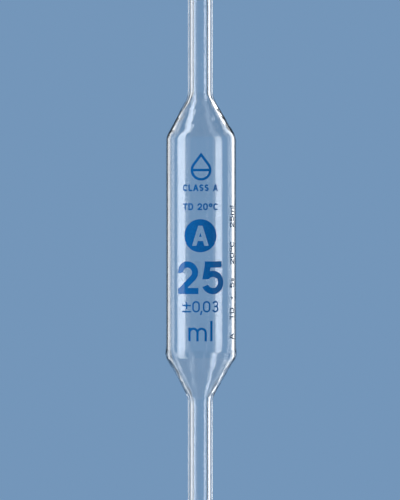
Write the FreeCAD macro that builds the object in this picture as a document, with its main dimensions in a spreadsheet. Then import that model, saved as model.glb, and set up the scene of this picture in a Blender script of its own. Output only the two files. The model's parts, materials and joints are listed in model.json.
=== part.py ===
"""Volumetric pipette for 25 ml with one mark: a FreeCAD 1.1 macro, in millimetres.

The pipette stands on +Z with its tip at the origin and its print facing -Y. The glass is
drawn and fused from tube sections, one body each. Every enamel print lies on the glass as
a thin layer wrapped round the bulb or the upper tube. Sizes come from the Dimensions sheet.
"""
import FreeCAD, Part
import math
import os
import Sketcher

Vector = FreeCAD.Vector

# ---------------------------------------------------------------- driving dimensions

DIMENSIONS = [
    ("CapacityMl", 25, "volume delivered from the ring mark"),
    ("OverallLength", 520, "tip to mouth"),
    ("StemRadius", 3.65, "outside of both tubes"),
    ("StemBore", 2.4, "inner radius of both tubes"),
    ("BulbRadius", 10.4, "outside of the bulb"),
    ("BulbBore", 9.37, "inner radius of the bulb"),
    ("BulbCentre", 269.3, "height of the middle of the bulb"),
    ("BarrelLength", 64.4, "between the corners of the two shoulders"),
    ("ShoulderLength", 12.1, "height of each shoulder's cone"),
    ("BarrelLand", 3, "straight stretch of each shoulder beside the barrel"),
    ("NeckLand", 6, "straight stretch of each shoulder beside its tube"),
    ("NeckRound", 5, "outer rounding where a cone runs into its tube"),
    ("UpperCornerRound", 5, "outer rounding at the top of the bulb"),
    ("LowerCornerRound", 3, "outer rounding at the bottom of the bulb"),
    ("LowerInnerRound", 3.5, "inner rounding at the bottom of the bulb"),
    ("BeadRise", 0.2, "swelling of the glass at the lower corner"),
    ("BeadLength", 2, "height over which the glass swells"),
    ("MouthRound", 0.4, "fire-polished edge of the mouth"),
    ("JetTaper", 25, "height of the drawn taper"),
    ("JetLand", 3, "straight stretch above the taper"),
    ("JetRound", 20, "outer rounding where the taper starts"),
    ("NoseHeight", 14, "height at which the steep taper becomes a slender nose"),
    ("NoseRadius", 2.3, "outside of the jet at that height"),
    ("TipRadius", 1.35, "outside of the jet above its bevel"),
    ("OrificeRadius", 0.45, "bore of the jet"),
    ("OrificeLength", 3, "straight stretch of the jet's bore"),
    ("BevelHeight", 1, "ground bevel at the tip"),
    ("BevelWidth", 0.35, "ground bevel at the tip"),
    ("EnamelThickness", 0.04, "every print and ring"),
    ("RingMarkWidth", 0.5, "height of the capacity line"),
    ("ColourBandWidth", 10, "height of the colour code"),
    ("ColourBandDrop", 15, "mouth to the upper edge of the colour code"),
    ("DropRadius", 3.05, "round part of the outline drop"),
    ("DropStroke", 0.74, "line width of the outline drop"),
    ("DropHalfAngle", 37, "degrees from the drop's axis to its flank"),
    ("DropCentre", 22.1, "above the bulb's centre"),
    ("RoundelRadius", 4.8, "solid disc"),
    ("RoundelCentre", 3.1, "above the bulb's centre"),
    ("RoundelLetter", 5.8, "height of the letter left clear in the disc"),
    ("RoundelStroke", 1.2, "line width of that letter"),
    ("ClassHeight", 1.95, "capital height"),
    ("ClassStroke", 0.43, "line width"),
    ("ClassGap", 0.28, "between letters"),
    ("ClassBase", 16, "baseline above the bulb's centre"),
    ("DeliveryHeight", 2, "capital height"),
    ("DeliveryStroke", 0.4, "line width"),
    ("DeliveryGap", 0.26, "between letters"),
    ("DeliveryBase", 10.5, "baseline above the bulb's centre"),
    ("NumeralHeight", 9.47, "capital height"),
    ("NumeralStroke", 1.8, "line width"),
    ("NumeralGap", 0.9, "between numerals"),
    ("NumeralBase", -13.8, "baseline above the bulb's centre"),
    ("ToleranceHeight", 3.3, "capital height"),
    ("ToleranceStroke", 0.45, "line width"),
    ("ToleranceGap", 0.42, "between numerals"),
    ("ToleranceBase", -19.1, "baseline above the bulb's centre"),
    ("UnitHeight", 5.91, "capital height"),
    ("UnitStroke", 0.68, "line width"),
    ("UnitGap", 1, "between letters"),
    ("UnitBase", -27.45, "baseline above the bulb's centre"),
    ("SideHeight", 2.4, "capital height"),
    ("SideStroke", 0.32, "line width"),
    ("SideGap", 0.2, "between letters"),
    ("SideStart", -27.2, "foot of the side line above the bulb's centre"),
    ("SideAngle", 60, "degrees round the bulb from the front"),
    ("PrintOffset", -0.2, "middle of the front prints from the front line"),
]

doc = FreeCAD.newDocument("volumetric_pipette")
sheet = doc.addObject("Spreadsheet::Sheet", "Dimensions")
for row, (alias, value, meaning) in enumerate(DIMENSIONS, start=1):
    sheet.set(f"A{row}", alias)
    sheet.set(f"B{row}", str(value))
    sheet.set(f"C{row}", meaning)
    sheet.setAlias(f"B{row}", alias)
doc.recompute()


def bound(text):
    """The expression text with every alias of the sheet written in full."""
    words = text.replace("(", "( ").replace(")", " )").split()
    aliases = {alias for alias, _, _ in DIMENSIONS}
    return " ".join(f"Dimensions.{word}" if word in aliases else word for word in words)


def size(text):
    """The value of an expression in the sheet's aliases."""
    return float(sheet.evalExpression(bound(text)))


# ---------------------------------------------------------------- turned glass

def edge_at(feature, radius, height):
    """The name of the circular edge of a turned feature at this radius and height."""
    for number, edge in enumerate(feature.Shape.Edges, start=1):
        if not isinstance(edge.Curve, Part.Circle):
            continue
        centre = edge.Curve.Center
        if abs(edge.Curve.Radius - radius) < 1e-4 and abs(centre.z - height) < 1e-4:
            return f"Edge{number}"
    raise ValueError(f"no edge of {feature.Label} at radius {radius}, height {height}")


def turned_body(label, foot, outline, rounds):
    """A body turned about Z, standing at the height foot.

    outline lists its corners as (radius, height above foot). rounds lists fillets as
    (corner, radius), where corner is an index into outline.
    """
    body = doc.addObject("PartDesign::Body", label)
    body.Label = label
    plane = [feature for feature in body.Origin.OriginFeatures if feature.Role == "XZ_Plane"][0]
    sketch = body.newObject("Sketcher::SketchObject", f"{label}_section")
    sketch.AttachmentSupport = [(plane, "")]
    sketch.MapMode = "FlatFace"
    points = [Vector(size(radius), size(height), 0) for radius, height in outline]
    count = len(points)
    for index in range(count):
        sketch.addGeometry(Part.LineSegment(points[index], points[(index + 1) % count]))
    for index in range(count):
        sketch.addConstraint(Sketcher.Constraint("Coincident", index, 2, (index + 1) % count, 1))
    for index, (radius, height) in enumerate(outline):
        bind_corner(sketch, index, "DistanceX", points[index].x, radius)
        bind_corner(sketch, index, "DistanceY", points[index].y, height)
    feature = body.newObject("PartDesign::Revolution", f"{label}_turned")
    feature.Profile = sketch
    feature.ReferenceAxis = (sketch, ["V_Axis"])
    feature.Angle = 360
    doc.recompute()
    for number, (corner, radius) in enumerate(rounds, start=1):
        edge = edge_at(feature, points[corner].x, points[corner].y)
        fillet = body.newObject("PartDesign::Fillet", f"{label}_round_{number}")
        fillet.Base = (feature, [edge])
        fillet.setExpression("Radius", bound(radius))
        feature = fillet
        doc.recompute()
    body.Tip = feature
    body.setExpression("Placement.Base.z", bound(foot))
    return body


def bind_corner(sketch, index, direction, value, expression):
    """Fix one coordinate of a corner from the sketch's origin."""
    if value == 0:
        axis_point = Sketcher.Constraint("PointOnObject", index, 1, -1)
        sketch.addConstraint(axis_point)
        return
    number = sketch.addConstraint(Sketcher.Constraint(direction, -1, 1, index, 1, value))
    sketch.setExpression(f"Constraints[{number}]", bound(expression))


BARREL_HALF = "BarrelLength / 2"
LOWER_CORNER = f"BulbCentre - {BARREL_HALF}"
UPPER_CORNER = f"BulbCentre + {BARREL_HALF}"
LOWER_NECK = f"{LOWER_CORNER} - ShoulderLength"
UPPER_NECK = f"{UPPER_CORNER} + ShoulderLength"
WALL = "( BulbRadius - BulbBore )"
JET_LENGTH = "JetTaper + JetLand"
NOSE_BORE = "NoseRadius - ( StemRadius - StemBore )"


def delivery_jet():
    """The drawn tip: a steep taper, then a slender nose with a ground bevel."""
    outline = [
        ("OrificeRadius", "0"),
        ("TipRadius - BevelWidth", "0"),
        ("TipRadius", "BevelHeight"),
        ("NoseRadius", "NoseHeight"),
        ("StemRadius", "JetTaper"),
        ("StemRadius", JET_LENGTH),
        ("StemBore", JET_LENGTH),
        ("StemBore", "JetTaper"),
        (NOSE_BORE, "NoseHeight"),
        ("OrificeRadius", "OrificeLength"),
    ]
    return turned_body("delivery_jet", "0", outline, [(4, "JetRound")])


def delivery_tube():
    """The lower tube, from the jet to the neck of the lower shoulder."""
    length = f"{LOWER_NECK} - NeckLand - ( {JET_LENGTH} )"
    return turned_body("delivery_tube", JET_LENGTH, tube_outline(length), [])


def tube_outline(length):
    """The wall of a plain tube of the stems' section."""
    return [("StemBore", "0"), ("StemRadius", "0"), ("StemRadius", length), ("StemBore", length)]


def lower_shoulder():
    """The cone under the bulb, with the slight swelling where it was worked."""
    neck = "NeckLand"
    corner = "NeckLand + ShoulderLength"
    top = f"{corner} + BarrelLand"
    outline = [
        ("StemBore", "0"),
        ("StemRadius", "0"),
        ("StemRadius", neck),
        ("BulbRadius + BeadRise", corner),
        ("BulbRadius", f"{corner} + BeadLength"),
        ("BulbRadius", top),
        ("BulbBore", top),
        ("BulbBore", corner),
        ("StemBore", neck),
    ]
    rounds = [
        (2, "NeckRound"),
        (3, "LowerCornerRound"),
        (7, "LowerInnerRound"),
        (8, f"NeckRound + {WALL}"),
    ]
    return turned_body("lower_shoulder", f"{LOWER_NECK} - NeckLand", outline, rounds)


def bulb_barrel():
    """The cylindrical wall of the bulb, which carries the prints."""
    length = "BarrelLength - 2 * BarrelLand"
    outline = [("BulbBore", "0"), ("BulbRadius", "0"), ("BulbRadius", length), ("BulbBore", length)]
    return turned_body("bulb_barrel", f"{LOWER_CORNER} + BarrelLand", outline, [])


def upper_shoulder():
    """The cone over the bulb."""
    corner = "BarrelLand"
    neck = "BarrelLand + ShoulderLength"
    top = f"{neck} + NeckLand"
    outline = [
        ("BulbBore", "0"),
        ("BulbRadius", "0"),
        ("BulbRadius", corner),
        ("StemRadius", neck),
        ("StemRadius", top),
        ("StemBore", top),
        ("StemBore", neck),
        ("BulbBore", corner),
    ]
    rounds = [
        (2, "UpperCornerRound"),
        (3, "NeckRound"),
        (6, f"NeckRound + {WALL}"),
        (7, f"UpperCornerRound - {WALL}"),
    ]
    return turned_body("upper_shoulder", f"{UPPER_CORNER} - BarrelLand", outline, rounds)


def suction_tube():
    """The upper tube, open at its fire-polished mouth."""
    foot = f"{UPPER_NECK} + NeckLand"
    outline = tube_outline(f"OverallLength - ( {foot} )")
    return turned_body("suction_tube", foot, outline, [(2, "MouthRound"), (3, "MouthRound")])


# ---------------------------------------------------------------- enamel rings

def enamel_ring(label, height, foot):
    """A closed ring of enamel round the upper tube."""
    outer = doc.addObject("Part::Cylinder", f"{label}_outside")
    outer.setExpression("Radius", bound("StemRadius + EnamelThickness"))
    inner = doc.addObject("Part::Cylinder", f"{label}_glass")
    inner.setExpression("Radius", bound("StemRadius"))
    for cylinder in (outer, inner):
        cylinder.setExpression("Height", bound(height))
    ring = doc.addObject("Part::Cut", label)
    ring.Base = outer
    ring.Tool = inner
    ring.Label = label
    ring.setExpression("Placement.Base.z", bound(foot))
    return ring


def cone_volume(radius, other_radius, height):
    """The expression for the volume of a cone's slice."""
    squares = f"( {radius} ) ^ 2 + ( {radius} ) * ( {other_radius} ) + ( {other_radius} ) ^ 2"
    return f"pi * ( {height} ) / 3 * ( {squares} )"


def ring_mark_height():
    """The height above the tip at which the bore holds the stated volume."""
    slices = [
        cone_volume("OrificeRadius", "OrificeRadius", "OrificeLength"),
        cone_volume("OrificeRadius", NOSE_BORE, "NoseHeight - OrificeLength"),
        cone_volume(NOSE_BORE, "StemBore", "JetTaper - NoseHeight"),
        cone_volume("StemBore", "StemBore", f"{LOWER_NECK} - JetTaper"),
        cone_volume("StemBore", "BulbBore", "ShoulderLength"),
        cone_volume("BulbBore", "BulbBore", "BarrelLength"),
        cone_volume("BulbBore", "StemBore", "ShoulderLength"),
    ]
    rest = f"( 1000 * CapacityMl - {' - '.join(slices)} )"
    return f"{UPPER_NECK} + {rest} / ( pi * StemBore ^ 2 )"


# ---------------------------------------------------------------- strokes and letters

def straight(start, end, width, start_cap=True, end_cap=True):
    """A straight stroke as a flat face. A cap runs half a width past its end."""
    along = (end - start).normalize() * (width / 2)
    across = Vector(-along.y, along.x, 0)
    start = start - along if start_cap else start
    end = end + along if end_cap else end
    corners = [start + across, start - across, end - across, end + across]
    return Part.Face(Part.makePolygon(corners + corners[:1]))


def slanted(start, end, width):
    """A sloping stroke cut level, half a width below its start and above its end."""
    run = end - start
    reach = run * (width / 2 / abs(run.y))
    half = Vector(width / 2 * run.Length / abs(run.y), 0, 0)
    low = start - reach
    high = end + reach
    corners = [low - half, low + half, high + half, high - half]
    return Part.Face(Part.makePolygon(corners + corners[:1]))


def curved(centre, radius, first, last, width):
    """A stroke along a circle, from one angle to a larger one, in degrees."""
    def point(distance, angle):
        turn = math.radians(angle)
        return centre + Vector(math.cos(turn), math.sin(turn), 0) * distance

    outer = radius + width / 2
    inner = radius - width / 2
    middle = (first + last) / 2
    edges = [
        Part.Arc(point(outer, first), point(outer, middle), point(outer, last)).toShape(),
        Part.LineSegment(point(outer, last), point(inner, last)).toShape(),
        Part.Arc(point(inner, last), point(inner, middle), point(inner, first)).toShape(),
        Part.LineSegment(point(inner, first), point(outer, first)).toShape(),
    ]
    return Part.Face(Part.Wire(edges))


# Each letter is (width, strokes) on a grid one high, drawn along the middle of its strokes.
# bar: both ends capped. foot: only its first end capped. run: no caps. slope: cut level.
# arc: centre, radius, first and last angle.
LETTERS = {
    " ": (0.20, []),
    "A": (0.70, [("slope", 0, 0, 0.31, 1), ("slope", 0.70, 0, 0.39, 1),
                 ("run", 0.11, 0.30, 0.59, 0.30)]),
    "C": (0.66, [("arc", 0.35, 0.65, 0.35, 30, 180), ("run", 0, 0.35, 0, 0.65),
                 ("arc", 0.35, 0.35, 0.35, 180, 330)]),
    "D": (0.66, [("bar", 0, 0, 0, 1), ("run", 0, 1, 0.31, 1), ("arc", 0.31, 0.65, 0.35, 0, 90),
                 ("run", 0.66, 0.35, 0.66, 0.65), ("arc", 0.31, 0.35, 0.35, 270, 360),
                 ("run", 0.31, 0, 0, 0)]),
    "L": (0.48, [("bar", 0, 0, 0, 1), ("bar", 0, 0, 0.48, 0)]),
    "S": (0.54, [("arc", 0.27, 0.745, 0.255, 20, 270), ("arc", 0.27, 0.245, 0.245, -160, 90)]),
    "T": (0.66, [("bar", 0, 1, 0.66, 1), ("foot", 0.33, 0, 0.33, 1)]),
    "l": (0.00, [("bar", 0, 0, 0, 1)]),
    "m": (0.91, [("bar", 0, 0, 0, 0.63), ("foot", 0.455, 0, 0.455, 0.4025),
                 ("foot", 0.91, 0, 0.91, 0.4025), ("arc", 0.2275, 0.4025, 0.2275, 0, 180),
                 ("arc", 0.6825, 0.4025, 0.2275, 0, 180)]),
    "s": (0.36, [("arc", 0.18, 0.465, 0.165, 10, 270), ("arc", 0.18, 0.145, 0.155, -170, 90)]),
    "0": (0.62, [("arc", 0.31, 0.69, 0.31, 0, 180), ("run", 0, 0.31, 0, 0.69),
                 ("run", 0.62, 0.69, 0.62, 0.31), ("arc", 0.31, 0.31, 0.31, 180, 360)]),
    "2": (0.62, [("arc", 0.31, 0.70, 0.30, -45.8, 184), ("run", 0.533, 0.499, 0.02, 0),
                 ("bar", 0.02, 0, 0.62, 0)]),
    "3": (0.60, [("arc", 0.31, 0.755, 0.245, -90, 165), ("arc", 0.30, 0.265, 0.265, -165, 90),
                 ("run", 0.19, 0.52, 0.31, 0.52)]),
    "5": (0.65, [("bar", 0.12, 1, 0.57, 1), ("slope", 0.05, 0.56, 0.115, 0.93),
                 ("arc", 0.322, 0.322, 0.325, -157, 143)]),
    "+": (0.60, [("run", 0, 0.5, 0.60, 0.5), ("run", 0.30, 0.2, 0.30, 0.8)]),
    "±": (0.80, [("bar", 0, 0, 0.80, 0), ("bar", 0, 0.62, 0.80, 0.62), ("run", 0.40, 0.25, 0.40, 1)]),
    "°": (0.46, [("arc", 0.23, 0.77, 0.23, 0, 180), ("arc", 0.23, 0.77, 0.23, 180, 360)]),
    ",": (-0.15, [("slope", -0.12, -0.25, -0.06, 0)]),
}


def letter_strokes(letter, left, height, width):
    """The flat strokes of one letter whose outline starts at left, on the baseline y = 0."""
    unit = height - width

    def place(x, y):
        return Vector(left + width / 2 + x * unit, width / 2 + y * unit, 0)

    strokes = []
    for kind, *numbers in LETTERS[letter][1]:
        if kind == "arc":
            x, y, radius, first, last = numbers
            strokes.append(curved(place(x, y), radius * unit, first, last, width))
            continue
        start = place(numbers[0], numbers[1])
        end = place(numbers[2], numbers[3])
        if kind == "slope":
            strokes.append(slanted(start, end, width))
        else:
            strokes.append(straight(start, end, width, kind != "run", kind == "bar"))
    return strokes


def joined(faces):
    """Overlapping flat faces as separate flat faces with no inner edges."""
    slabs = [face.extrude(Vector(0, 0, 1)) for face in faces]
    slab = slabs[0].fuse(slabs[1:]).removeSplitter() if len(slabs) > 1 else slabs[0]
    return flat_faces(slab)


def flat_faces(slab):
    """The faces of a slab on the plane z = 0."""
    return [face for face in slab.Faces if abs(face.BoundBox.ZMax) < 1e-6]


def text_faces(text, prefix):
    """A line of text as flat faces, centred on x = 0 with its baseline on y = 0."""
    height = size(f"{prefix}Height")
    width = size(f"{prefix}Stroke")
    gap = size(f"{prefix}Gap")
    faces = []
    left = 0
    for letter in text:
        strokes = letter_strokes(letter, left, height, width)
        if strokes:
            faces.extend(joined(strokes))
        left += LETTERS[letter][0] * (height - width) + width + gap
    middle = Vector((left - gap) / 2, 0, 0)
    return [face.translated(-middle) for face in faces]


# ---------------------------------------------------------------- prints on the bulb

FRONT = 1.5 * math.pi  # the angle round the bulb of the front line, which faces -Y


def wrapped_edge(edge, radius, cylinder):
    """A flat edge laid on a cylinder: x runs round it, y runs up it."""
    curve = edge.Curve.toBSpline(*edge.ParameterRange)
    poles = [FreeCAD.Base.Vector2d(FRONT + pole.x / radius, pole.y) for pole in curve.getPoles()]
    flat = Part.Geom2d.BSplineCurve2d()
    flat.buildFromPolesMultsKnots(
        poles, curve.getMultiplicities(), curve.getKnots(), False, curve.Degree, curve.getWeights())
    return flat.toShape(cylinder)


def wrapped_solid(wire, radius, depth, thickness):
    """The layer inside a flat outline, wrapped round the bulb, from depth under its surface."""
    cylinder = Part.Cylinder()
    cylinder.Radius = radius - depth
    edges = [wrapped_edge(edge, radius, cylinder) for edge in wire.OrderedEdges]
    face = Part.Face(cylinder, Part.Wire(Part.__sortEdges__(edges)))
    face.validate()
    return face.makeOffsetShape(thickness, 1e-4, fill=True)


def enamel(label, faces, height):
    """Flat faces laid on the bulb as enamel, with y = 0 at this height above its centre."""
    radius = size("BulbRadius")
    thickness = size("EnamelThickness")
    layers = []
    for face in faces:
        layer = wrapped_solid(face.OuterWire, radius, 0, thickness)
        holes = [wire for wire in face.Wires if not wire.isSame(face.OuterWire)]
        for hole in holes:
            layer = layer.cut(wrapped_solid(hole, radius, thickness, 3 * thickness))
        layers.extend(layer.Solids)
    print_feature = doc.addObject("Part::Feature", label)
    print_feature.Label = label
    print_feature.Shape = Part.makeCompound(layers)
    print_feature.Placement = FreeCAD.Placement(Vector(0, 0, size("BulbCentre") + height),
                                                FreeCAD.Rotation())
    return print_feature


def front_text(label, text, prefix):
    """A line of text on the front of the bulb."""
    shift = Vector(size("PrintOffset"), 0, 0)
    faces = [face.translated(shift) for face in text_faces(text, prefix)]
    return enamel(label, faces, size(f"{prefix}Base"))


def side_line():
    """A line of text that climbs the bulb's side, with the letters' heads to the left."""
    start = Vector(math.radians(size("SideAngle")) * size("BulbRadius") + size("SideHeight") / 2, 0, 0)
    faces = []
    text = text_faces("A    TD  +  5s    20°C    25ml", "Side")
    left = min(face.BoundBox.XMin for face in text)
    for face in text:
        turned = face.translated(Vector(-left, 0, 0))
        turned.rotate(Vector(0, 0, 0), Vector(0, 0, 1), 90)
        faces.append(turned.translated(start))
    return enamel("side_line", faces, size("SideStart"))


def drop_outline(radius, half_angle):
    """A drop about the origin: a circle with two tangents that meet above it."""
    apex = Vector(0, radius / math.sin(half_angle), 0)
    left = Vector(-math.cos(half_angle), math.sin(half_angle), 0) * radius
    right = Vector(math.cos(half_angle), math.sin(half_angle), 0) * radius
    edges = [
        Part.Arc(left, Vector(0, -radius, 0), right).toShape(),
        Part.LineSegment(right, apex).toShape(),
        Part.LineSegment(apex, left).toShape(),
    ]
    return Part.Face(Part.Wire(edges)).extrude(Vector(0, 0, 1))


def emblem_print():
    """A drop drawn in outline, with a level line across its widest part."""
    radius = size("DropRadius")
    stroke = size("DropStroke")
    half_angle = math.radians(size("DropHalfAngle"))
    level = straight(Vector(stroke / 2 - radius, 0, 0), Vector(radius - stroke / 2, 0, 0), stroke,
                     start_cap=False, end_cap=False)
    outline = drop_outline(radius, half_angle).cut(drop_outline(radius - stroke, half_angle))
    slab = outline.fuse(level.extrude(Vector(0, 0, 1))).removeSplitter()
    return enamel("emblem_print", flat_faces(slab), size("DropCentre"))


def roundel():
    """A solid disc with a capital letter left clear in it."""
    height = size("RoundelLetter")
    stroke = size("RoundelStroke")
    disc = Part.makeCylinder(size("RoundelRadius"), 1)
    width = LETTERS["A"][0] * (height - stroke) + stroke
    for face in letter_strokes("A", -width / 2, height, stroke):
        disc = disc.cut(face.extrude(Vector(0, 0, 1)).translated(Vector(0, -height / 2, 0)))
    shift = Vector(size("PrintOffset"), 0, 0)
    faces = [face.translated(shift) for face in flat_faces(disc.removeSplitter())]
    return enamel("roundel", faces, size("RoundelCentre"))


# ---------------------------------------------------------------- the assembly

SUBPARTS = [
    delivery_jet(),
    delivery_tube(),
    lower_shoulder(),
    bulb_barrel(),
    upper_shoulder(),
    suction_tube(),
    enamel_ring("ring_mark", "RingMarkWidth", f"{ring_mark_height()} - RingMarkWidth / 2"),
    enamel_ring("colour_code_band", "ColourBandWidth",
                "OverallLength - ColourBandDrop - ColourBandWidth"),
    emblem_print(),
    front_text("class_line", "CLASS A", "Class"),
    front_text("delivery_line", "TD 20°C", "Delivery"),
    roundel(),
    front_text("capacity_numerals", "25", "Numeral"),
    front_text("tolerance_line", "±0,03", "Tolerance"),
    front_text("unit_print", "ml", "Unit"),
    side_line(),
]


def main():
    doc.recompute()
    for item in doc.Objects:
        if "Invalid" in item.State or "Error" in item.State:
            raise RuntimeError(f"{item.Label} is {item.State}")
    for subpart in SUBPARTS:
        if subpart.Shape.isNull() or not subpart.Shape.isValid():
            raise RuntimeError(f"{subpart.Label} has no valid shape")
    os.makedirs("parts", exist_ok=True)
    for subpart in SUBPARTS:
        subpart.Shape.exportStep(f"parts/{subpart.Label}.step")
        box = subpart.Shape.BoundBox
        print(f"{subpart.Label:18} {len(subpart.Shape.Solids):3} solids {subpart.Shape.Volume:9.2f} mm3"
              f"  z {box.ZMin:8.2f} to {box.ZMax:8.2f}")
    print(f"capacity line {size(ring_mark_height()):.2f} mm above the tip")


main()
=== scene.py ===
import json
import math

import bpy
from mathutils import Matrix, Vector, noise


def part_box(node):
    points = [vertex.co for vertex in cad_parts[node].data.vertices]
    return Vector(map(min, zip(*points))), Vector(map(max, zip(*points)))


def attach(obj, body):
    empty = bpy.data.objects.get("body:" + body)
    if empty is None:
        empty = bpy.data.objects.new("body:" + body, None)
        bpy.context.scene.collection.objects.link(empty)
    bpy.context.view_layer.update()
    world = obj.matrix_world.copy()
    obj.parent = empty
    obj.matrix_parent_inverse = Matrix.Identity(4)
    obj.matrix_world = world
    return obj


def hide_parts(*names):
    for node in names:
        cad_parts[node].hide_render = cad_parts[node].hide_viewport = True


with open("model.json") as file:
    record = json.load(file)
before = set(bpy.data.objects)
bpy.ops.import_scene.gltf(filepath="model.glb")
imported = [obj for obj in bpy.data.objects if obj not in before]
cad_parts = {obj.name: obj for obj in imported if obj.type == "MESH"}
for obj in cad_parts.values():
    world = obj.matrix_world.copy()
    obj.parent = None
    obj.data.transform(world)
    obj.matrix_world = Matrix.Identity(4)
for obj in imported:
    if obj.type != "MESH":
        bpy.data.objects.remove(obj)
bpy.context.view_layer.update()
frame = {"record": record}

# A volumetric pipette in metres, standing on +Z with its tip at the origin and its print facing -Y.

MM = 0.001
scene = bpy.context.scene
scene.view_settings.view_transform = "Standard"

# ---------------------------------------------------------------- sizes from the frame

GLASS_NODES = ["delivery_jet", "delivery_tube", "lower_shoulder", "bulb_barrel",
               "upper_shoulder", "suction_tube"]
PRINTS = ["emblem_print", "class_line", "delivery_line", "roundel", "capacity_numerals",
          "tolerance_line", "unit_print"]

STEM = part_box("suction_tube")[1].x
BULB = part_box("bulb_barrel")[1].x
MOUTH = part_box("suction_tube")[1].z
MOUNTS = {mount["name"]: mount["dims"] for mount in frame["record"]["mounts"]}
BORE = MOUNTS["suction_bore"]["r_mm"] * MM
BULB_WALL = 1.03 * MM
BULB_BORE = BULB - BULB_WALL
# Lengths of plain tube between each corner of a shoulder and the end of its node.
NECK_LAND = 6 * MM
BARREL_LAND = 3 * MM
LOWER_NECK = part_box("lower_shoulder")[0].z + NECK_LAND
LOWER_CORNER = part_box("bulb_barrel")[0].z - BARREL_LAND
UPPER_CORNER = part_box("bulb_barrel")[1].z + BARREL_LAND
UPPER_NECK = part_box("upper_shoulder")[1].z - NECK_LAND
BULB_CENTRE = (LOWER_CORNER + UPPER_CORNER) / 2


# ---------------------------------------------------------------- camera

def make_camera():
    """A long lens at the height of the bulb, level, looking along +Y."""
    lens = 150
    sensor = 36
    frame_height = 147.1 * MM
    left_of_axis = 0.31 * MM
    below_centre = 1.03 * MM
    aim = Vector((-left_of_axis, 0, BULB_CENTRE - below_centre))
    data = bpy.data.cameras.new("camera")
    data.lens = lens
    data.sensor_width = sensor
    data.clip_start = 0.01
    camera = bpy.data.objects.new("camera", data)
    scene.collection.objects.link(camera)
    camera.location = aim - Vector((0, frame_height * lens / sensor, 0))
    camera.rotation_euler = (math.radians(90), 0, 0)
    scene.camera = camera


# ---------------------------------------------------------------- studio

BACKDROP = (0.174, 0.305, 0.491)
WHITE = (1.0, 1.05, 1.1)
# The light that falls on the enamel and the floor, and how much stronger it is from the left.
SOFT_LIGHT = (0.80, 0.84, 0.90)
SIDE_LIGHT = 0.9

# Upright cards and softboxes that stand round the pipette out of the picture, each as (start, end,
# brightness), with 0 for a black card. Angles are in degrees, and run to the left of straight behind
# the pipette as its print is read. Each hides what is behind it.
CARDS = [
    # The softbox at the left makes both long bright bands on the bulb.
    (95, 125, 5),
    # A weak fill light at the right front lifts the right band a little.
    (-140, -110, 0.8),
    # A black card at each side of the backdrop deepens the dark lines along the edges of the glass.
    (-35, -20, 0),
    (20, 35, 0),
    # A white card beyond each black one draws the bright lines, more strongly at the right.
    (-60, -35, 2),
    (35, 60, 1),
]
# The width of each card's soft edge, in degrees.
SOFT_EDGE = 2
# Below this elevation, in degrees, the cards thin out to a share of their strength.
CARD_BOTTOM = -9
CARD_FADE = 4
WEAKENED = 0.7
# The elevation, in degrees, where the backdrop ends and dark begins, and how wide the change is.
BACKDROP_TOP = 24
BACKDROP_FADE = 12


def math_node(nodes, links, operation, *values):
    """A math node of sockets and plain numbers."""
    node = nodes.new("ShaderNodeMath")
    node.operation = operation
    for socket, value in zip(node.inputs, values):
        if isinstance(value, (int, float)):
            socket.default_value = value
        else:
            links.new(value, socket)
    return node.outputs[0]


def eased(nodes, links, value, first, last):
    """A smooth step from 0 at first to 1 at last."""
    step = nodes.new("ShaderNodeMapRange")
    step.interpolation_type = "SMOOTHSTEP"
    step.inputs["From Min"].default_value = first
    step.inputs["From Max"].default_value = last
    links.new(value, step.inputs["Value"])
    return step.outputs["Result"]


def window(nodes, links, value, start, end):
    """1 between start and end with soft edges, and 0 outside."""
    rise = eased(nodes, links, value, start - SOFT_EDGE / 2, start + SOFT_EDGE / 2)
    fall = eased(nodes, links, value, end + SOFT_EDGE / 2, end - SOFT_EDGE / 2)
    return math_node(nodes, links, "MULTIPLY", rise, fall)


def tinted(nodes, links, colour, strength):
    """A colour times a strength socket."""
    scaled = nodes.new("ShaderNodeVectorMath")
    scaled.operation = "SCALE"
    scaled.inputs[0].default_value = colour
    links.new(strength, scaled.inputs["Scale"])
    return scaled.outputs[0]


def mixed(nodes, links, factor, first, second):
    """A blend from the first colour to the second, where the second is a socket or a plain colour."""
    blend = nodes.new("ShaderNodeMix")
    blend.data_type = "RGBA"
    links.new(factor, blend.inputs["Factor"])
    links.new(first, blend.inputs["A"])
    if isinstance(second, tuple):
        blend.inputs["B"].default_value = second
    else:
        links.new(second, blend.inputs["B"])
    return blend.outputs["Result"]


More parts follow.
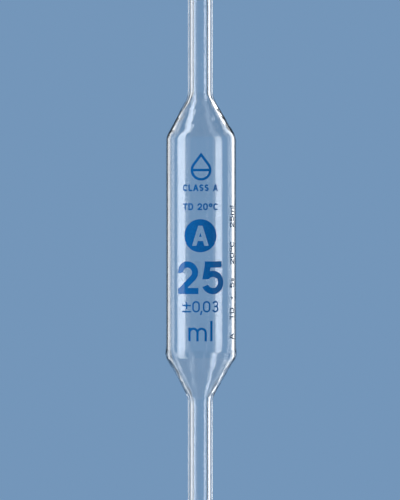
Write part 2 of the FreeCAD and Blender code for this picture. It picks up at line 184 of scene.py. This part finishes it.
def make_world():
    """A plain blue backdrop, with cards round it that only the glass shows."""
    world = bpy.data.worlds.new("studio")
    world.use_nodes = True
    nodes = world.node_tree.nodes
    links = world.node_tree.links
    nodes.clear()
    coordinates = nodes.new("ShaderNodeTexCoord")
    axes = nodes.new("ShaderNodeSeparateXYZ")
    links.new(coordinates.outputs["Generated"], axes.inputs[0])
    leftward = math_node(nodes, links, "MULTIPLY", axes.outputs["X"], -1)
    turn = math_node(nodes, links, "ARCTAN2", leftward, axes.outputs["Y"])
    angle = math_node(nodes, links, "DEGREES", turn)
    elevation = math_node(nodes, links, "DEGREES", math_node(nodes, links, "ARCSINE", axes.outputs["Z"]))

    level = eased(nodes, links, elevation, CARD_BOTTOM - CARD_FADE / 2, CARD_BOTTOM + CARD_FADE / 2)
    hung = math_node(nodes, links, "MULTIPLY_ADD", level, 1 - WEAKENED, WEAKENED)
    blue = eased(nodes, links, elevation, BACKDROP_TOP, BACKDROP_TOP - BACKDROP_FADE)
    studio = tinted(nodes, links, BACKDROP, blue)
    for start, end, brightness in CARDS:
        cover = math_node(nodes, links, "MULTIPLY", window(nodes, links, angle, start, end), hung)
        light = tuple(channel * brightness for channel in WHITE)
        studio = mixed(nodes, links, cover, studio, (*light, 1))

    path = nodes.new("ShaderNodeLightPath")
    one_sided = math_node(nodes, links, "MULTIPLY_ADD", leftward, SIDE_LIGHT, 1.0)
    soft = tinted(nodes, links, SOFT_LIGHT, one_sided)
    studio = mixed(nodes, links, path.outputs["Is Diffuse Ray"], studio, soft)
    studio = mixed(nodes, links, path.outputs["Is Camera Ray"], studio, (*BACKDROP, 1))
    background = nodes.new("ShaderNodeBackground")
    links.new(studio, background.inputs["Color"])
    output = nodes.new("ShaderNodeOutputWorld")
    links.new(background.outputs[0], output.inputs["Surface"])
    world.cycles.sampling_method = "NONE"
    scene.world = world


# ---------------------------------------------------------------- glass

# The longest run along the profile, in the shoulders and elsewhere.
FINE_STEP = 0.5 * MM
COARSE_STEP = 4 * MM
GLASS_SIDES = 160
RING_SIDES = 192
# One step of a rounded corner, in degrees.
ARC_STEP = 3

# Ripples of hand work: how they ease in at each end, their size and their depth.
WORKED_EDGE = 3 * MM
WORKED_WAVE = 2.4 * MM
WORKED_DEPTH = 0.06 * MM
# Lines of the draw: how close together they lie round the tube, their length and their depth.
STREAKS = 5
STREAK_LENGTH = 60 * MM
STREAK_DEPTH = 0.001 * MM
# How far the tubes' axis stands off the bulb's axis, along X.
TUBE_SHIFT = -0.2 * MM

ORIFICE = 0.45 * MM
ORIFICE_LENGTH = 3 * MM
TIP = 1.35 * MM
TIP_FLAT = 1.0 * MM
NOSE = 2.3 * MM
NOSE_BORE = 1.05 * MM
NOSE_HEIGHT = 14 * MM
JET_TAPER = 25 * MM
# The outside of the bulb stands a little proud of its wall at the lower corner.
BEAD_RISE = 0.2 * MM
BEAD_LENGTH = 2 * MM
# The outer wall bends round this radius at the necks and the upper corner.
BEND = 5 * MM
MOUTH_ROUND = 0.4 * MM


def rounded(corners):
    """A closed profile through (radius, height, rounding radius) corners, with its corners as arcs."""
    points = []
    count = len(corners)
    for index, (radius, height, rounding) in enumerate(corners):
        corner = Vector((radius, height))
        before = (Vector(corners[index - 1][:2]) - corner).normalized()
        after = (Vector(corners[(index + 1) % count][:2]) - corner).normalized()
        turn = math.pi - before.angle(after)
        if rounding == 0 or turn < 1e-4:
            points.append(corner)
            continue
        reach = rounding * math.tan(turn / 2)
        centre = corner + (before + after).normalized() * (rounding / math.cos(turn / 2))
        first = corner + before * reach - centre
        last = corner + after * reach - centre
        steps = max(2, math.ceil(math.degrees(turn) / ARC_STEP))
        for step in range(steps + 1):
            share = step / steps
            arm = (first * math.sin((1 - share) * turn) + last * math.sin(share * turn)) / math.sin(turn)
            points.append(centre + arm)
    return points


def glass_profile():
    """The section of the glass, up the outside and down the bore."""
    return rounded([
        (ORIFICE, 0, 0),
        (TIP_FLAT, 0, 0.1 * MM),
        (TIP, 1 * MM, 0.6 * MM),
        (NOSE, NOSE_HEIGHT, 40 * MM),
        (STEM, JET_TAPER, 30 * MM),
        (STEM, LOWER_NECK, BEND),
        (BULB + BEAD_RISE, LOWER_CORNER, 3 * MM),
        (BULB, LOWER_CORNER + BEAD_LENGTH, BEND),
        (BULB, UPPER_CORNER, BEND),
        (STEM, UPPER_NECK, BEND),
        (STEM, MOUTH, MOUTH_ROUND),
        (BORE, MOUTH, MOUTH_ROUND),
        (BORE, UPPER_NECK, BEND + BULB_WALL),
        (BULB_BORE, UPPER_CORNER, BEND - BULB_WALL),
        (BULB_BORE, LOWER_CORNER, 3.5 * MM),
        (BORE, LOWER_NECK, BEND + BULB_WALL),
        (BORE, JET_TAPER, 20 * MM),
        (NOSE_BORE, NOSE_HEIGHT, 20 * MM),
        (ORIFICE, ORIFICE_LENGTH, 3 * MM),
    ])


def worked(height):
    """How much a height was shaped by hand over a flame: 1 in the shoulders, 0 elsewhere."""
    shares = []
    for neck, corner in ((LOWER_NECK, LOWER_CORNER), (UPPER_NECK, UPPER_CORNER)):
        low = min(neck, corner)
        high = max(neck, corner)
        inside = min(height - low, high - height) / WORKED_EDGE + 0.5
        shares.append(min(1, max(0, inside)))
    return max(shares)


def divided(points):
    """The closed profile with its long runs cut into shorter ones, finest in the shoulders."""
    result = []
    for index, point in enumerate(points):
        following = points[(index + 1) % len(points)]
        longest = FINE_STEP if worked((point.y + following.y) / 2) > 0 else COARSE_STEP
        pieces = max(1, math.ceil((following - point).length / longest))
        result += [point.lerp(following, piece / pieces) for piece in range(pieces)]
    return result


def ripple(radius, height, angle, outside):
    """How far a wall stands out of true, from hand work in the shoulders and drawing elsewhere."""
    seed = Vector((0, 0, 0)) if outside else Vector((7.3, 3.1, 5.7))
    place = Vector((radius * math.cos(angle), radius * math.sin(angle), height)) / WORKED_WAVE + seed
    wave = noise.noise(place) + 0.4 * noise.noise(place * 2)
    around = Vector((math.cos(angle) * STREAKS, math.sin(angle) * STREAKS, height / STREAK_LENGTH)) + seed
    streak = noise.noise(around) * radius / BULB
    return WORKED_DEPTH * worked(height) * wave + STREAK_DEPTH * streak


def axis_shift(height):
    """How far the tubes stand to the left of the bulb's axis, eased over the shoulders."""
    below = (LOWER_CORNER - height) / (LOWER_CORNER - LOWER_NECK)
    above = (height - UPPER_CORNER) / (UPPER_NECK - UPPER_CORNER)
    share = min(1, max(0, below, above))
    return TUBE_SHIFT * share * share * (3 - 2 * share)


def turned(name, profile, around, material, replaced):
    """A closed profile turned about the axis into one piece, with ripples in its wall."""
    vertices = []
    for index, (radius, height) in enumerate(profile):
        outside = profile[(index + 1) % len(profile)].y > height
        for step in range(around):
            angle = 2 * math.pi * step / around
            reach = radius + ripple(radius, height, angle, outside)
            vertices.append((axis_shift(height) + reach * math.cos(angle), reach * math.sin(angle), height))
    faces = []
    for ring in range(len(profile)):
        above = (ring + 1) % len(profile)
        for step in range(around):
            beside = (step + 1) % around
            faces.append((ring * around + step, ring * around + beside,
                          above * around + beside, above * around + step))
    mesh = bpy.data.meshes.new(name)
    mesh.from_pydata(vertices, [], faces)
    mesh.polygons.foreach_set("use_smooth", [True] * len(faces))
    mesh.materials.append(material)
    piece = bpy.data.objects.new(name, mesh)
    scene.collection.objects.link(piece)
    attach(piece, "root")
    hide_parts(*replaced)
    return piece


def noise_texture(nodes, links, stretch, scale, detail):
    """Noise in object space, in features per metre, drawn out along Z by a stretch."""
    coordinates = nodes.new("ShaderNodeTexCoord")
    mapping = nodes.new("ShaderNodeMapping")
    mapping.inputs["Scale"].default_value = (1, 1, 1 / stretch)
    links.new(coordinates.outputs["Object"], mapping.inputs["Vector"])
    texture = nodes.new("ShaderNodeTexNoise")
    texture.inputs["Scale"].default_value = scale
    texture.inputs["Detail"].default_value = detail
    links.new(mapping.outputs["Vector"], texture.inputs["Vector"])
    return texture.outputs["Fac"]


def spread(nodes, links, value, lowest, highest):
    """A texture's middle values spread between two numbers."""
    step = nodes.new("ShaderNodeMapRange")
    step.inputs["From Min"].default_value = 0.35
    step.inputs["From Max"].default_value = 0.65
    step.inputs["To Min"].default_value = lowest
    step.inputs["To Max"].default_value = highest
    links.new(value, step.inputs["Value"])
    return step.outputs["Result"]


def bumped(nodes, links, height, distance, strength):
    """A bump from a height texture, with its depth in metres."""
    bump = nodes.new("ShaderNodeBump")
    bump.inputs["Distance"].default_value = distance
    bump.inputs["Strength"].default_value = strength
    links.new(height, bump.inputs["Height"])
    return bump.outputs["Normal"]


def glass_material():
    """Clear borosilicate glass with faint lines along its draw and a trace of haze."""
    material = bpy.data.materials.new("clear_glass")
    material.use_nodes = True
    nodes = material.node_tree.nodes
    links = material.node_tree.links
    shader = nodes["Principled BSDF"]
    shader.inputs["Base Color"].default_value = (0.975, 0.975, 0.975, 1)
    shader.inputs["Transmission Weight"].default_value = 1
    shader.inputs["IOR"].default_value = 1.517
    haze = noise_texture(nodes, links, stretch=4, scale=300, detail=3)
    links.new(spread(nodes, links, haze, 0.0, 0.02), shader.inputs["Roughness"])
    draw_lines = noise_texture(nodes, links, stretch=60, scale=900, detail=2)
    links.new(bumped(nodes, links, draw_lines, 0.001 * MM, 0.5), shader.inputs["Normal"])
    return material


# ---------------------------------------------------------------- enamel

# The thickness of a fired layer, and the colours of the inks where they lie thin and thick.
ENAMEL = 0.04 * MM
BLUE_THIN = (0.001, 0.122, 0.375)
BLUE_THICK = (0.0, 0.100, 0.325)
DARK_THIN = (0.06, 0.11, 0.19)
DARK_THICK = (0.04, 0.08, 0.15)


def enamel_material(name, thin_ink, thick_ink, gloss):
    """Fired enamel of a given gloss, mottled where the ink lay thinner."""
    material = bpy.data.materials.new(name)
    material.use_nodes = True
    nodes = material.node_tree.nodes
    links = material.node_tree.links
    shader = nodes["Principled BSDF"]
    shader.inputs["Specular IOR Level"].default_value = gloss
    thin = spread(nodes, links, noise_texture(nodes, links, stretch=1, scale=1800, detail=4), 0, 1)
    mottle = nodes.new("ShaderNodeMix")
    mottle.data_type = "RGBA"
    mottle.inputs["A"].default_value = (*thick_ink, 1)
    mottle.inputs["B"].default_value = (*thin_ink, 1)
    links.new(thin, mottle.inputs["Factor"])
    links.new(mottle.outputs["Result"], shader.inputs["Base Color"])
    polish = noise_texture(nodes, links, stretch=1, scale=4000, detail=2)
    links.new(spread(nodes, links, polish, 0.08, 0.16), shader.inputs["Roughness"])
    grain = noise_texture(nodes, links, stretch=1, scale=9000, detail=2)
    links.new(bumped(nodes, links, grain, 0.004 * MM, 0.4), shader.inputs["Normal"])
    return material


def make_ring(name, node, material):
    """A ring of enamel round the upper tube in place of a CAD node, with rounded edges."""
    low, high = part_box(node)
    inside = STEM - ENAMEL / 2
    outside = STEM + ENAMEL
    profile = rounded([
        (inside, low.z, 0),
        (outside, low.z, ENAMEL),
        (outside, high.z, ENAMEL),
        (inside, high.z, 0),
    ])
    turned(name, profile, RING_SIDES, material, [node])


def paint(node, material):
    """Give a CAD node a material."""
    mesh = bpy.data.objects[node].data
    mesh.materials.clear()
    mesh.materials.append(material)


# ---------------------------------------------------------------- floor

def floor_material():
    """Pale blue-grey card with a faint fibre in its colour and its gloss."""
    material = bpy.data.materials.new("pale_card")
    material.use_nodes = True
    nodes = material.node_tree.nodes
    links = material.node_tree.links
    shader = nodes["Principled BSDF"]
    fibre = noise_texture(nodes, links, stretch=1, scale=600, detail=4)
    shade = nodes.new("ShaderNodeMix")
    shade.data_type = "RGBA"
    shade.inputs["A"].default_value = (0.55, 0.61, 0.69, 1)
    shade.inputs["B"].default_value = (0.57, 0.63, 0.71, 1)
    links.new(spread(nodes, links, fibre, 0, 1), shade.inputs["Factor"])
    links.new(shade.outputs["Result"], shader.inputs["Base Color"])
    links.new(spread(nodes, links, fibre, 0.75, 0.85), shader.inputs["Roughness"])
    return material


def make_floor():
    """A round pale floor just under the tip."""
    radius = 0.4
    drop = 0.2 * MM
    sides = 96
    turns = [2 * math.pi * side / sides for side in range(sides)]
    mesh = bpy.data.meshes.new("floor")
    mesh.from_pydata([(radius * math.cos(a), radius * math.sin(a), -drop) for a in turns], [], [range(sides)])
    mesh.materials.append(floor_material())
    floor = bpy.data.objects.new("floor", mesh)
    scene.collection.objects.link(floor)


make_camera()
make_world()
make_floor()
turned("glass_body", divided(glass_profile()), GLASS_SIDES, glass_material(), GLASS_NODES)
blue_enamel = enamel_material("blue_enamel", BLUE_THIN, BLUE_THICK, gloss=0.25)
for node in PRINTS:
    paint(node, blue_enamel)
paint("side_line", enamel_material("dark_enamel", DARK_THIN, DARK_THICK, gloss=0))
make_ring("ring_mark_enamel", "ring_mark", blue_enamel)
make_ring("colour_code_enamel", "colour_code_band", blue_enamel)
